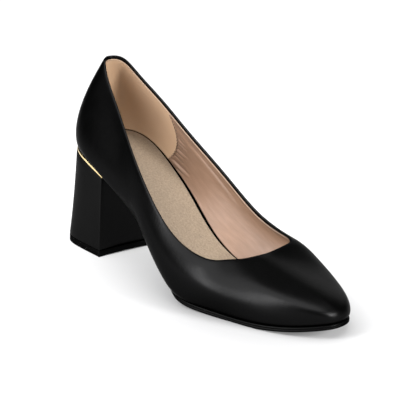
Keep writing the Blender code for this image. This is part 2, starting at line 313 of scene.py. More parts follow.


# %% [markdown]
# ## Black leather
# Waxed black leather shows soft lights clearly, and yet stays dark where it is seen at a flat angle. A plain
# glossy shader turns pale there, because it mirrors the white table. So the shader runs in its metal mode:
# the near-black base colour is how much it mirrors from the front, and Specular Tint holds the edges down. A
# painted_shade attribute on the mesh paints shade on the wall's inner face, blacker still, so that the gap
# under the lining stays as dark as a deep crevice's shadow.

# %% Black leather of the upper
LEATHER_EDGE_TINT = (0.5, 0.5, 0.5, 1.0)


def black_leather():
    """Smooth calf: near black, fine pores, a soft gloss that varies a little, and painted shade inside the
    wall.
    """
    material = new_finish("black_leather", 0.40, metallic=1.0, specular_tint=LEATHER_EDGE_TINT)
    tree = material.node_tree
    places = places_on(tree)
    cloud = noise(tree, places, 90.0, detail=3.0)
    streaks = noise(tree, places_on(tree, stretch=(1.0, 1.0, 8.0)), 420.0, detail=3.0)
    fine = bumps(tree, pores(tree, places, 1900.0, crack=0.25), strength=0.20, depth=0.03 * MM)
    # Painted shade: where the painted_shade attribute is 1, the base colour falls to almost black.
    painted_gap_mask = add_node(tree, "ShaderNodeAttribute")
    painted_gap_mask.attribute_name = "painted_shade"
    feed(material,
         base_color=tint(tree, painted_gap_mask.outputs["Fac"], (0.0078, 0.0078, 0.0079), (0.0002, 0.0002, 0.0002)),
         roughness=spread(tree, cloud, NOISE_RANGE, (0.36, 0.40)),
         normal=bumps(tree, streaks, strength=0.25, depth=0.25 * MM, under=fine))
    return material


leather = black_leather()

# %% [markdown]
# ## An even outer wall
# One piece of leather goes round the last from the back to the toe. Gloss shows every short wave in a wall,
# so the outer side is evened first. Plain smoothing would also draw the whole wall in, so each pass moves
# the rows towards their neighbours and then a touch further back: short waves die out and long curves stay.
# Two tables say how much of it acts where: along the shoe in millimetres, and down the face by points.

# %% Even out the outer side
EVEN_PASSES = 500
EVEN_STEPS = [0.5, -0.507]
ShareRow = namedtuple("ShareRow", "at share")
EVEN_ALONG = [ShareRow(-36.0, 0.0), ShareRow(-12.0, 1.0), ShareRow(86.0, 1.0), ShareRow(110.0, 0.0)]
EVEN_DOWN = [ShareRow(0, 0.0), ShareRow(3, 1.0), ShareRow(FACE - 6, 1.0), ShareRow(FACE - 1, 0.0)]


def read_table(rows, at):
    """A table of two columns, read between its rows at places in its first column."""
    return np.interp(at, *np.array(rows).T)


def facing(face):
    """Unit directions into the shoe from a face given by turns, each turn read downwards."""
    round_shoe = np.roll(face, -1, axis=0) - np.roll(face, 1, axis=0)
    downwards = np.gradient(face, axis=1)
    return unit(np.cross(round_shoe, downwards))


def even_out(face):
    """Takes short waves out of the outer side's fore part and leaves the long curves."""
    middle = face.mean(axis=1) / MM
    along = read_table(EVEN_ALONG, middle[:, 0]) * (middle[:, 1] < 0)
    down = read_table(EVEN_DOWN, np.arange(FACE))
    weight = (along[:, None] * down)[..., None]
    for step in EVEN_STEPS * EVEN_PASSES:
        beside = (np.roll(face, 1, axis=0) + np.roll(face, -1, axis=0)) / 2
        face = face + step * weight * (beside - face)
    return face


even_wall = wall.copy()
even_wall[:, OUTER] = even_out(wall[:, OUTER])
moved = ((even_wall - wall)[:, OUTER] * facing(wall[:, OUTER])).sum(axis=-1) / MM
print("evened inwards by at most", moved.max().round(2), "mm, outwards by", -moved.min().round(2), "mm")

# %% [markdown]
# ## The upper
# The leather gives a little where the stiff counter ends and where the vamp was pulled over the last, so a
# few soft troughs are pressed into the outer face. Each is a line in the side view, in millimetres, with
# its width and depth; a negative depth is a ridge. The table is made finer first. It is then laid on a grid
# that is closed both ways, which a Subdivision Surface smooths once more.

# %% Press soft troughs into the outer face
ROUND_TIMES = 2
Trough = namedtuple("Trough", "side from_x from_z to_x to_z width depth")
TROUGHS = [
    Trough("lateral", -52.0, 84.0, -47.0, 58.0, 5.0, 0.20),
    Trough("lateral", -44.0, 76.0, -38.0, 54.0, 4.0, -0.12),
    Trough("lateral", -30.0, 64.0, -22.0, 46.0, 6.0, 0.15),
    Trough("medial", -50.0, 84.0, -45.0, 58.0, 5.0, 0.20),
    Trough("medial", 14.0, 32.0, 22.0, 18.0, 6.0, 0.18),
]


def trough_depth(points, trough):
    """How deep a trough presses at each point of the wall, in metres."""
    start = np.array([trough.from_x, trough.from_z]) * MM
    run = np.array([trough.to_x, trough.to_z]) * MM - start
    flat = points[..., [0, 2]] - start
    share = np.clip(flat @ run / (run @ run), 0, 1)
    away = np.linalg.norm(flat - share[..., None] * run, axis=-1)
    on_side = points[..., 1] < 0 if trough.side == "lateral" else points[..., 1] > 0
    return trough.depth * MM * np.exp(-(away / (trough.width * MM))**2) * on_side


fine_wall = finer(even_wall, ROUND_TIMES, closed=True)
pressed = sum(trough_depth(fine_wall[:, OUTER], trough) for trough in TROUGHS)
fine_wall[:, OUTER] += facing(fine_wall[:, OUTER]) * pressed[..., None]
print("deepest trough:", (pressed.max() / MM).round(2), "mm")

# %% Lay the upper's leather
# The five points of the inner face next to the top edge get no painted shade and keep the leather's own
# black; the foot and the rest of the inner face are painted almost black, as shade for the gap under the
# lining.
UNSHADED_POINTS = 5

painted_gap_shade = np.zeros(SECTION)
painted_gap_shade[1 + FACE:SECTION - UNSHADED_POINTS] = 1.0
upper_skin = bmesh.new()
lay_grid(upper_skin, fine_wall, closed_rows=True, closed_columns=True, painted_shade=painted_gap_shade)
close_up(upper_skin)
add_piece("upper_leather", upper_skin, leather, replaces=["upper"], smooth_levels=1)

# %% [markdown]
# ## The linings
# Inside, the back of the shoe is lined with tan suede that grips the heel, and the rest with smooth pinkish
# leather. Both start a little below the folded top edge and stop just over the insole, where a gap is left
# that painted shade on the wall behind keeps dark. A thickened copy of the wall would be quick, but its seam
# and its gap would then have to be cut. So each section of the inner face is measured from the top edge down,
# and a lining can be asked for by turn and by millimetres below the edge.

# %% Measure the inner face and set the lining's rows
LINING_TIMES = 3
DOWN_TIMES = 4
LINING_ROWS = 96
FOLD = 2.2
INSOLE_LIFT = 1.4
GapRow = namedtuple("GapRow", "along gap")
GAPS = [
    GapRow(-112.0, 0.5),
    GapRow(-92.0, 0.6),
    GapRow(-70.0, 0.9),
    GapRow(-20.0, 0.9),
    GapRow(0.0, 0.6),
    GapRow(14.0, 0.1),
    GapRow(120.0, 0.0),
]


def travelled(points, axis):
    """Lengths travelled along one side of a table of points, from 0 at its start."""
    steps = np.linalg.norm(np.diff(points, axis=axis), axis=-1)
    start = np.zeros_like(np.take(steps, [0], axis=axis))
    return np.concatenate([start, np.cumsum(steps, axis=axis)], axis=axis)


def read_along(spots, travel, points):
    """A line of points, read at given lengths of travel."""
    return np.stack([np.interp(spots, travel, points[:, axis]) for axis in range(3)], axis=1)


inside = finer_across(finer(inner_face, LINING_TIMES, closed=True), DOWN_TIMES)
toward_foot = facing(inside)
below_edge = travelled(inside, axis=1)
lowest = below_edge[:, -1] - (INSOLE_LIFT + read_table(GAPS, inside[:, -1, 0] / MM)) * MM
row_shares = np.linspace(0, 1, LINING_ROWS)
depths = FOLD * MM + row_shares[None, :] * (lowest - FOLD * MM)[:, None]
lining_base = np.stack([read_along(*turn) for turn in zip(depths, below_edge, inside)])
lining_normal = unit(np.stack([read_along(*turn) for turn in zip(depths, below_edge, toward_foot)]))
print("lining table:", lining_base.shape, "deepest row", (lowest.max() / MM).round(1), "mm below the edge")

# %% [markdown]
# ## The seam between the linings
# The suede ends in a seam on each side of the shoe, which bows towards the toe on its way down. A straight
# cut would follow one turn of the wall. Here every row has its own turn, given as a share of the whole
# round from the back, so the cut is a curve. The leather goes a little way under the suede, and its columns
# lie close together near the seam, where its creases need them.

# %% Cut the linings along a curved seam
SEAM_TURN = 0.1405
SEAM_BOW = 0.0105
SEAM_BOW_AT = 0.425
SEAM_LAP = 0.010
CLOSE_SHARE = 0.075
CLOSE_COLUMNS = 76
WIDE_COLUMNS = 192
HEEL_COLUMNS = 150


def seam_turn(row_share):
    """Turn of the seam from the back: it bows most towards the toe a little above half way down."""
    return SEAM_TURN + SEAM_BOW * (1 - (2 * (row_share - SEAM_BOW_AT))**2)


def read_round(table, turns):
    """A table read at one list of turns for each of its rows, as shares of the whole round."""
    spots = turns * len(table)
    low = np.floor(spots).astype(int)
    part = (spots - low)[..., None]
    rows = np.arange(table.shape[1])[None, :]
    return table[low % len(table), rows] * (1 - part) + table[(low + 1) % len(table), rows] * part


def lining_places(start, end, shares):
    """Places on the wall between two turns given row by row, and the directions towards the foot."""
    turns = start[None, :] + shares[:, None] * (end - start)[None, :]
    return read_round(lining_base, turns), unit(read_round(lining_normal, turns))


seam = seam_turn(row_shares)
close = np.linspace(0, CLOSE_SHARE, CLOSE_COLUMNS)
wide = np.linspace(CLOSE_SHARE, 1 - CLOSE_SHARE, WIDE_COLUMNS)
quarter_shares = np.concatenate([close, wide[1:-1], 1 - close[::-1]])
quarter_base, quarter_normal = lining_places(seam - SEAM_LAP, 1 - seam + SEAM_LAP, quarter_shares)
heel_base, heel_normal = lining_places(-seam, seam, np.linspace(0, 1, HEEL_COLUMNS))
print("seam at x, mm:", (heel_base[0, ::11, 0] / MM).round(1))

# %% [markdown]
# ## Creases of the lining
# On the inner side, the lining leather is drawn together where the seam holds it: short creases fan out from
# the seam towards the toe, and one long soft crease runs along under the top edge. Sculpting could make them,
# but a short table gives the same creases each run. It is in millimetres forward of the seam and below the
# lining's own edge, and a negative depth is a fold that stands up. The outer side has the same creases,
# shallower.

# %% Place the creases
FADE_SKEW = 0.6
FADE_FULLNESS = 0.7
OUTER_SIDE_SHARE = 0.6
Crease = namedtuple("Crease", "forward below run fall width depth")
CREASES = [
    Crease(8.0, 6.5, 70.0, 4.0, 2.4, 0.55),
    Crease(8.0, 10.0, 70.0, 4.5, 2.8, -0.25),
    Crease(6.4, 9.0, 7.0, -1.0, 0.5, 0.35),
    Crease(6.4, 12.0, 8.0, -1.0, 0.5, 0.40),
    Crease(6.4, 15.0, 9.0, -1.5, 0.5, 0.45),
    Crease(6.4, 17.5, 10.0, -1.5, 0.5, 0.50),
    Crease(6.6, 18.8, 10.0, -1.5, 0.6, -0.35),
    Crease(6.4, 20.2, 13.0, -2.0, 0.5, 0.55),
    Crease(6.6, 21.6, 12.0, -2.0, 0.6, -0.35),
    Crease(6.4, 23.0, 10.0, -2.0, 0.5, 0.55),
    Crease(6.4, 25.5, 14.0, -3.0, 0.6, 0.55),
    Crease(6.8, 27.0, 11.0, -2.5, 0.7, -0.40),
    Crease(6.4, 28.5, 10.0, -2.0, 0.6, 0.55),
    Crease(7.0, 31.5, 12.0, -2.5, 0.6, 0.50),
    Crease(9.0, 34.5, 20.0, -4.5, 0.9, 0.60),
    Crease(9.0, 36.3, 20.0, -4.0, 1.0, -0.50),
    Crease(14.0, 37.0, 11.0, -2.5, 0.7, 0.45),
]


def crease_depth(forward, below, crease):
    """How far a crease presses the lining back, in millimetres, fading towards its ends."""
    length = math.hypot(crease.run, crease.fall)
    along = ((forward - crease.forward) * crease.run + (below - crease.below) * crease.fall) / length
    away = ((forward - crease.forward) * crease.fall - (below - crease.below) * crease.run) / length
    inside_run = (along > 0) & (along < length)
    fade = np.sin(np.pi * np.clip(along / length, 0, 1)**FADE_SKEW)**FADE_FULLNESS
    return crease.depth * np.exp(-(away / crease.width)**2) * fade * inside_run


def all_creases(forward, below):
    """The creases together, for distances forward of one of the two seams."""
    return sum(crease_depth(forward, below, crease) for crease in CREASES)


from_outer_seam = travelled(quarter_base, axis=0) / MM
from_inner_seam = from_outer_seam[-1][None, :] - from_outer_seam
below_lining_edge = travelled(quarter_base, axis=1) / MM
creased = all_creases(from_inner_seam, below_lining_edge)
creased = creased + OUTER_SIDE_SHARE * all_creases(from_outer_seam, below_lining_edge)
print("creases press in", creased.max().round(2), "mm and stand up", -creased.min().round(2), "mm")

# %% [markdown]
# ## Finishes of the linings
# The pinkish leather has a slight gloss and fine streaks along the shoe, which a noise gives once it is
# stretched along the wall and turned to its slope. The suede has a short nap instead: hardly any gloss, a
# little sheen and a very fine bump.

# %% Lining leather and suede


def quarter_leather():
    """Pinkish lining leather with a slight gloss and fine lines."""
    material = new_finish("quarter_lining_leather", 0.5, specular_ior_level=0.35, sheen_weight=0.08)
    tree = material.node_tree
    lines = noise(tree, places_on(tree, stretch=(7.0, 3.0, 1.0), turn=(0.0, 0.56, 0.0)), 1300.0, detail=3.0)
    streaks = noise(tree, places_on(tree, stretch=(9.0, 3.0, 1.0), turn=(0.0, 0.50, 0.0)), 520.0, detail=5.0)
    fine = bumps(tree, pores(tree, places_on(tree), 1700.0), strength=0.12, depth=0.04 * MM)
    feed(material,
         base_color=tint(tree, spread(tree, streaks, (0.32, 0.68), FULL_RANGE),
                         (0.160, 0.0920, 0.0568), (0.196, 0.1156, 0.0740)),
         roughness=spread(tree, lines, NOISE_RANGE, (0.44, 0.56)),
         normal=bumps(tree, streaks, strength=0.32, depth=0.22 * MM, under=fine))
    return material


def heel_suede():
    """Tan suede: hardly any gloss, short nap."""
    material = new_finish("heel_lining_suede", 0.92, specular_ior_level=0.12, sheen_weight=0.06,
                          sheen_roughness=0.6)
    tree = material.node_tree
    places = places_on(tree)
    cloud = noise(tree, places, 45.0)
    nap = noise(tree, places, 2600.0, detail=2.0)
    feed(material,
         base_color=tint(tree, cloud, (0.390, 0.258, 0.160), (0.440, 0.298, 0.190)),
         normal=bumps(tree, nap, strength=0.35, depth=0.08 * MM))
    return material


quarter_finish = quarter_leather()
suede = heel_suede()

# %% [markdown]
# ## Sewing in the linings
# A lining is a sheet with a thickness of its own. Its side towards the foot is laid first, lifted off the
# wall by a small clearance and the leather's thickness and pressed back at the creases. Solidify then
# thickens it towards the wall. The suede has more clearance, so that it lies over the leather's edge at the
# seam.

# %% Sew in the two linings
LINING_THICKNESS = 0.6
QUARTER_CLEAR = 0.15
HEEL_CLEAR = 0.25


def lining_sheet(base, normal, lift):
    """A closed sheet of lining, as thick as its leather; lift is in millimetres off the wall."""
    bm = bmesh.new()
    lay_grid(bm, np.swapaxes(base + normal * lift[..., None] * MM, 0, 1))
    bmesh.ops.solidify(bm, geom=bm.faces[:], thickness=-LINING_THICKNESS * MM)
    bmesh.ops.recalc_face_normals(bm, faces=bm.faces)
    return bm


quarter_sheet = lining_sheet(quarter_base, quarter_normal, QUARTER_CLEAR + LINING_THICKNESS - creased)
add_piece("quarter_lining", quarter_sheet, quarter_finish)
heel_lift = HEEL_CLEAR + LINING_THICKNESS
heel_sheet = lining_sheet(heel_base, heel_normal, np.full(heel_base.shape[:2], heel_lift))
add_piece("heel_lining", heel_sheet, suede)

# %% [markdown]
# ## The lining's bound edge
# Along the top, the lining's cut edge is turned and pressed into a thin line that catches the light. Its
# colour is painted paler than the lining's face, so the line is partly the light the cord catches and partly
# painted highlight. It is a small round cord that follows the lining's first row. A curve with a bevel would
# look the same; a grid that is closed both ways is used, because it keeps to the table's points.

# %% Run a thin cord along the lining's top row
EDGE_RADIUS = 0.45
EDGE_OFF_WALL = 0.495
EDGE_SIDES = 8


def edge_with_painted_highlight():
    """Turned edge of the lining leather, painted paler than its face as part of its highlight."""
    material = new_finish("lining_edge_leather", 0.45, specular_ior_level=0.4)
    tree = material.node_tree
    cloud = noise(tree, places_on(tree), 300.0)
    # Painted highlight: the paler colour stands in for part of the light that the edge catches.
    feed(material, base_color=tint(tree, cloud, (0.19, 0.125, 0.085), (0.24, 0.165, 0.115)))
    return material


def round_cord(path, outward, upward, radius, sides):
    """A closed cord round a closed path."""
    angles = np.linspace(0, 2 * np.pi, sides, endpoint=False)
    section = (np.cos(angles)[None, :, None] * outward[:, None, :]
               + np.sin(angles)[None, :, None] * upward[:, None, :])
    bm = bmesh.new()
    lay_grid(bm, path[:, None, :] + radius * section, closed_rows=True, closed_columns=True)
    close_up(bm)
    return bm


edge_out = lining_normal[:, 0]
edge_up = unit(lining_base[:, 0] - lining_base[:, 1])
edge_path = lining_base[:, 0] + edge_out * EDGE_OFF_WALL * MM
edge_cord = round_cord(edge_path, edge_out, edge_up, EDGE_RADIUS * MM, EDGE_SIDES)
add_piece("lining_edge", edge_cord, edge_with_painted_highlight(), smooth_levels=1)

# %% [markdown]
# ## Zigzag stitches
# The suede is sewn to the lining leather with a zigzag. Each stitch is a small stretched ball, laid from
# one side of the seam to the other, down the seam on both sides of the shoe. A bump in the finish would be
# cheaper, but thread that stands up catches the light on its own.

# %% Thread and one stitch
STITCH_THICK = 0.42


def thread():
    """Matt beige sewing thread."""
    material = new_finish("lining_thread", 0.7, specular_ior_level=0.3)
    tree = material.node_tree
    twist = noise(tree, places_on(tree), 4000.0)
    feed(material, base_color=tint(tree, twist, (0.085, 0.052, 0.036), (0.130, 0.084, 0.060)))
    return material


def add_stitch(bm, start, end, outward):
    """One stitch: a small ball stretched from start to end."""
    along = Vector(end - start)
    up = Vector(outward)
    across = up.cross(along).normalized()
    up = along.cross(across).normalized()
    turn = Matrix((along.normalized(), across, up)).transposed().to_4x4()
    size = Matrix.Diagonal((along.length / 2, STITCH_THICK / 2 * MM, STITCH_THICK / 2 * MM, 1))
    place = Matrix.Translation(Vector((start + end) / 2))
    bmesh.ops.create_uvsphere(bm, u_segments=8, v_segments=6, radius=1, matrix=place @ turn @ size)


# %% Sew the zigzag
STITCH_STEP = 1.1
STITCH_WIDTH = 1.9
STITCH_FRONT = 0.25
STITCH_BACK = -0.75
STITCH_PROUD = 0.08
SEAM_END = 1.0


def sew_seam(bm, edge, beside):
    """Stitches down one edge of the suede, given by its column and the column beside that."""
    line = heel_base[edge] + heel_normal[edge] * heel_lift * MM
    travel = travelled(line, axis=0)
    spots = np.arange(SEAM_END * MM, travel[-1] - SEAM_END * MM, STITCH_STEP * MM)
    forward = unit(read_along(spots, travel, unit(heel_base[edge] - heel_base[beside])))
    outward = unit(read_along(spots, travel, heel_normal[edge]))
    zigzag = np.where(np.arange(len(spots)) % 2 == 0, STITCH_FRONT, STITCH_BACK) * STITCH_WIDTH * MM
    path = read_along(spots, travel, line) + forward * zigzag[:, None] + outward * STITCH_PROUD * MM
    for start, end, up in zip(path, path[1:], outward):
        add_stitch(bm, start, end, up)
    print("stitches down a seam:", len(path) - 1)


stitches = bmesh.new()
for edge, beside in [(0, 1), (-1, -2)]:
    sew_seam(stitches, edge, beside)
add_piece("lining_stitches", stitches, thread())

# %% [markdown]
# ## Plates: insole, outsole, heel and top piece
# These four are all an outline above and an outline below with an edge between them. Their two rims are
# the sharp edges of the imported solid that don't stand upright, so walking along such edges finds them. An
# extruded outline with a Bevel would give every plate the same round edge. Instead, the edge is drawn as a
# profile: rows of how far down and how far in, from the upper rim to the lower one. The faces are closed by
# strips across the foot, between the points that face each other.

# %% Find a solid's rims
UPRIGHT = 0.8


def steepness(edge):
    """How steeply an edge climbs, from 0 to 1."""
    return abs((edge.verts[0].co - edge.verts[1].co).normalized().z)


def rims(node, sharp_angle):
    """The closed rims of a solid, highest first, each from its rearmost point towards the wearer's right."""
    bm = merged_copy(node)
    sharp = {edge for edge in bm.edges
             if edge.calc_face_angle(0) > math.radians(sharp_angle) and steepness(edge) < UPRIGHT}
    loops = []
    while sharp:
        first = sharp.pop()
        path = list(first.verts)
        while path[-1] != path[0]:
            step = next((edge for edge in path[-1].link_edges if edge in sharp), None)
            if step is None:
                break
            sharp.discard(step)
            path.append(step.other_vert(path[-1]))
        loops.append(np.array([corner.co for corner in path[:-1]]))
    bm.free()
    ordered = []
    for loop in loops:
        loop = np.roll(loop, -loop[:, 0].argmin(), axis=0)
        x, y = loop[:, 0], loop[:, 1]
        if np.sum(x * np.roll(y, -1) - y * np.roll(x, -1)) < 0:
            loop = np.roll(loop[::-1], 1, axis=0)
        ordered.append(loop)
    ordered.sort(key=lambda loop: -loop[:, 2].mean())
    print(f"{node}: rims of", [len(loop) for loop in ordered], "points")
    return ordered


# %% Build a plate between two rims
ProfileRow = namedtuple("ProfileRow", "down inset")


def plan_outward(ring):
    """Level directions out of a ring that turns from the back by the wearer's right."""
    run = np.roll(ring, -1, axis=0) - np.roll(ring, 1, axis=0)
    return unit(np.stack([run[:, 1], -run[:, 0], np.zeros(len(ring))], axis=1))


def across_ring(ring, columns, crown):
    """Rows of places between the facing points of a ring, raised to a crown in the middle."""
    half = len(ring) // 2
    right = ring[:half + 1]
    left = np.concatenate([ring[:1], ring[:half - 1:-1]])
    share = np.linspace(0, 1, columns)[None, :, None]
    rows = right[:, None] * (1 - share) + left[:, None] * share
    width = np.linalg.norm(left - right, axis=1)
    rows[..., 2] += crown * (width / width.max())[:, None] * (1 - (2 * share[..., 0] - 1)**4)
    return rows


def plate(top, bottom, profile, columns, crown=0.0):
    """A closed plate between two rims with an edge profile; a crown in metres raises its upper face."""
    outward = plan_outward(top)
    levels = [top + (bottom - top) * row.down - outward * row.inset * MM for row in profile]
    bm = bmesh.new()
    lay_grid(bm, np.stack(levels, axis=1), closed_rows=True)
    lay_grid(bm, across_ring(levels[0], columns, crown))
    lay_grid(bm, across_ring(levels[-1], columns, 0.0))
    close_up(bm)
    return bm


# %% [markdown]
# ## The insole
# A board covered with pearly beige leather, padded a little, so the profile is rounder above than below and
# the middle is raised by half a millimetre. The finish is a pebble grain with a faint pearl sheen: cells for
# the pebbles, and a rough noise for its specks of colour.

# %% Make the insole
PLATE_RIM_ANGLE = 40
INSOLE_CROWN = 0.5
INSOLE_EDGE = [
    ProfileRow(0.0, 1.6),
    ProfileRow(0.02, 0.9),
    ProfileRow(0.12, 0.35),
    ProfileRow(0.35, 0.05),
    ProfileRow(0.7, 0.0),
    ProfileRow(1.0, 0.3),
]


def pearl_leather():
    """Sand-coloured insole leather with pebble grain and a pearly sheen."""
    material = new_finish("insole_pearl_leather", 0.55, specular_ior_level=0.4, sheen_weight=0.15,
                          sheen_roughness=0.4)
    tree = material.node_tree
    places = places_on(tree)
    cloud = noise(tree, places, 120.0, detail=6.0)
    specks = noise(tree, places, 800.0, detail=4.0, roughness=0.8)
    feed(material,
         base_color=tint(tree, spread(tree, specks, (0.34, 0.66), FULL_RANGE),
                         (0.114, 0.084, 0.056), (0.214, 0.162, 0.112)),
         roughness=spread(tree, cloud, NOISE_RANGE, (0.45, 0.62)),
         normal=bumps(tree, pores(tree, places, 1150.0), strength=0.45, depth=0.14 * MM))
    return material


insole_top, insole_bottom = rims("insole", PLATE_RIM_ANGLE)
insole_skin = plate(insole_top, insole_bottom, INSOLE_EDGE, columns=17, crown=INSOLE_CROWN * MM)
add_piece("insole_sock", insole_skin, pearl_leather(), replaces=["insole"], smooth_levels=2)

# %% [markdown]
# ## The outsole
# A thin rubber sheet. Its edge shows as a black line with a fine groove round it, where the top layer meets
# the tread layer, so the groove is drawn into the profile. The rubber is matt and a little dusty, with a
# fine speckle as a bump.

# %% Make the outsole
RUBBER_EDGE_TINT = (0.4, 0.4, 0.4, 1.0)
DUST_VARIES = 0.08
SOLE_EDGE = [
    ProfileRow(0.0, 0.9),
    ProfileRow(0.02, 0.4),
    ProfileRow(0.10, 0.05),
    ProfileRow(0.36, 0.0),
    ProfileRow(0.42, 0.10),
    ProfileRow(0.47, 0.45),
    ProfileRow(0.52, 0.10),
    ProfileRow(0.58, 0.0),
    ProfileRow(0.88, 0.05),
    ProfileRow(0.97, 0.4),
    ProfileRow(1.0, 0.9),
]


def black_rubber(name, roughness):
    """Matt black rubber with a fine speckle and a dusty variation."""
    material = new_finish(name, roughness, metallic=1.0, specular_tint=RUBBER_EDGE_TINT)
    tree = material.node_tree
    places = places_on(tree)
    dust = noise(tree, places, 220.0, detail=6.0)
    speckle = noise(tree, places, 2400.0, detail=2.0)
    feed(material,
         base_color=tint(tree, dust, (0.0040, 0.0040, 0.0040), (0.0075, 0.0075, 0.0075)),
         roughness=spread(tree, dust, NOISE_RANGE, (roughness - DUST_VARIES, roughness + DUST_VARIES)),
         normal=bumps(tree, speckle, strength=0.15, depth=0.05 * MM))
    return material


sole_top, sole_bottom = rims("outsole", PLATE_RIM_ANGLE)
sole_skin = plate(sole_top, sole_bottom, SOLE_EDGE, columns=11)
sole_finish = black_rubber("sole_rubber", 0.5)
add_piece("outsole_unit", sole_skin, sole_finish, replaces=["outsole"], smooth_levels=1)

# %% [markdown]
# ## The heel and its top piece
# The heel is a block with black leather stretched over it: straight lines run from its base up to its seat.
# Its outline is made finer between the two breast corners, which stay corners, and those upright corners
# are then rounded by a bevel. Behind, the cover swells by about half a millimetre under the band. The top
# piece under the heel is made the same way from harder rubber, without the swelling.

# %% Shape a block with soft rims
CORNER_RADIUS = 0.7
BLOCK_RIM_ANGLE = 35
RIM_TIMES = 3
RIM_RADIUS = 0.5
LIP = [ProfileRow(0.0, 1.4), ProfileRow(0.06, 0.75), ProfileRow(0.35, 0.22), ProfileRow(1.0, 0.0)]


def finer_rim(rim, times):
    """A heel's rim with smooth points added behind and across the breast, its two corners kept."""
    one, other = np.sort(np.argsort(-rim[:, 0])[:2])
    behind = np.roll(rim, -other, axis=0)[:len(rim) - other + one + 1]
    behind = finer(behind, times, closed=False)
    breast = finer(rim[one:other + 1], times, closed=False)
    loop = np.concatenate([behind[:-1], breast[:-1]])
    return np.roll(loop, -(len(behind) // 2), axis=0)


def round_corners(bm, radius):
    """Bevels the upright edges where the breast meets the sides."""
    upright = [edge for edge in bm.edges
               if edge.calc_face_angle(0) > math.radians(BLOCK_RIM_ANGLE) and steepness(edge) > UPRIGHT]
    bmesh.ops.bevel(bm, geom=upright, offset=radius * MM, segments=3, profile=0.5, affect="EDGES",
                    material=-1)
    bmesh.ops.recalc_face_normals(bm, faces=bm.faces)


def soft_block(node, levels, columns):
    """A heel-shaped block between its two rims; LIP's rows are shares of the soft rims' radius."""
    top, bottom = (finer_rim(rim, RIM_TIMES) for rim in rims(node, BLOCK_RIM_ANGLE))
    height = float((top[:, 2] - bottom[:, 2]).mean()) / MM
    lip = [ProfileRow(row.down * RIM_RADIUS / height, row.inset * RIM_RADIUS) for row in LIP]
    shaft = [ProfileRow(share, 0.0) for share in np.linspace(0, 1, levels)[1:-1]]
    foot = [ProfileRow(1 - row.down, row.inset) for row in lip[::-1]]
    bm = plate(top, bottom, lip + shaft + foot, columns=columns)
    round_corners(bm, CORNER_RADIUS)
    return bm


# %% Make the heel and the top piece
BLOCK_SHARP_ANGLE = 50
SwellRow = namedtuple("SwellRow", "along swell")
FULLER = [SwellRow(-118.0, 0.65), SwellRow(-104.0, 0.5), SwellRow(-76.0, 0.0)]


def fuller_behind(bm, fading):
    """Swells a heel piece behind by FULLER's rows, less towards its foot the higher the power of fading."""
    bm.normal_update()
    heights = [vert.co.z for vert in bm.verts]
    low, high = min(heights), max(heights)
    for vert in bm.verts:
        share = ((vert.co.z - low) / (high - low))**fading
        out = vert.normal * float(read_table(FULLER, vert.co.x / MM)) * share * MM
        vert.co += Vector((out.x, out.y, 0.0))


def heel_leather():
    """The upper's leather stretched thin over the block, a little duller."""
    material = new_finish("heel_cover_leather", 0.42, metallic=1.0, specular_tint=LEATHER_EDGE_TINT)
    tree = material.node_tree
    places = places_on(tree)
    cloud = noise(tree, places, 70.0)
    feed(material,
         base_color=tint(tree, cloud, (0.0085, 0.0085, 0.0085), (0.0110, 0.0110, 0.0110)),
         roughness=spread(tree, cloud, NOISE_RANGE, (0.44, 0.52)),
         normal=bumps(tree, pores(tree, places, 1700.0), strength=0.10, depth=0.03 * MM))
    return material


heel_skin = soft_block("heel", levels=12, columns=9)
fuller_behind(heel_skin, fading=2)
add_piece("heel_block_cover", heel_skin, heel_leather(), replaces=["heel"],
          sharp_angle=BLOCK_SHARP_ANGLE)
tip_skin = soft_block("heel_tip", levels=3, columns=9)
tip_finish = black_rubber("top_piece_rubber", 0.55)
add_piece("heel_top_piece", tip_skin, tip_finish, replaces=["heel_tip"],
          sharp_angle=BLOCK_SHARP_ANGLE)

# %% [markdown]
# ## The gold band
# A thin polished strip is let in between the heel and the upper. The copy of its solid has its triangles
# joined to four-sided faces and its long edges rounded, swells behind like the heel, and is smoothed along
# its run. Its top lies a little lower than the solid's, so that the leather's edge hangs clear of it in a
# clean line.

# %% Make the gold band
BAND_ROUND = 0.6
BAND_DROP = 0.35
BAND_EDGE_ANGLE = 45
BAND_FLAT_ANGLE = 25
BAND_SHAPE_ANGLE = 80


def pale_gold():
    """Polished pale gold with fine brushing along the band."""
    material = new_finish("pale_gold", 0.2, metallic=1.0)
    tree = material.node_tree
    brushed = noise(tree, places_on(tree, stretch=(5.0, 5.0, 0.25)), 900.0)
    feed(material,
         base_color=tint(tree, brushed, (0.86, 0.66, 0.32), (0.95, 0.77, 0.42)),
         roughness=spread(tree, brushed, NOISE_RANGE, (0.16, 0.28)))
    return material


band_skin = merged_copy("heel_trim")
bmesh.ops.join_triangles(band_skin, faces=band_skin.faces[:],
                         angle_face_threshold=math.radians(BAND_FLAT_ANGLE),
                         angle_shape_threshold=math.radians(BAND_SHAPE_ANGLE))
band_edges = [edge for edge in band_skin.edges if edge.calc_face_angle(0) > math.radians(BAND_EDGE_ANGLE)]
bmesh.ops.bevel(band_skin, geom=band_edges, offset=BAND_ROUND * MM, segments=3, profile=0.5, affect="EDGES",
                material=-1, clamp_overlap=True)
bmesh.ops.recalc_face_normals(band_skin, faces=band_skin.faces)
fuller_behind(band_skin, fading=0)
for corner in band_skin.verts:
    corner.co.z -= max(corner.normal.z, 0.0) * BAND_DROP * MM
add_piece("heel_gold_band", band_skin, pale_gold(), replaces=["heel_trim"],
          smooth_levels=2)

# %% [markdown]
# ## The floor
# The shoe stands on a plain white table that glows, as a lit tabletop does, and glows less under the fore
# part: that weaker glow is a painted shadow of the shoe. Lights alone could do this, but they would have to
# be so strong that the leather turned grey. The painted shadow follows the distance from a point under the
# vamp, longer along the shoe.

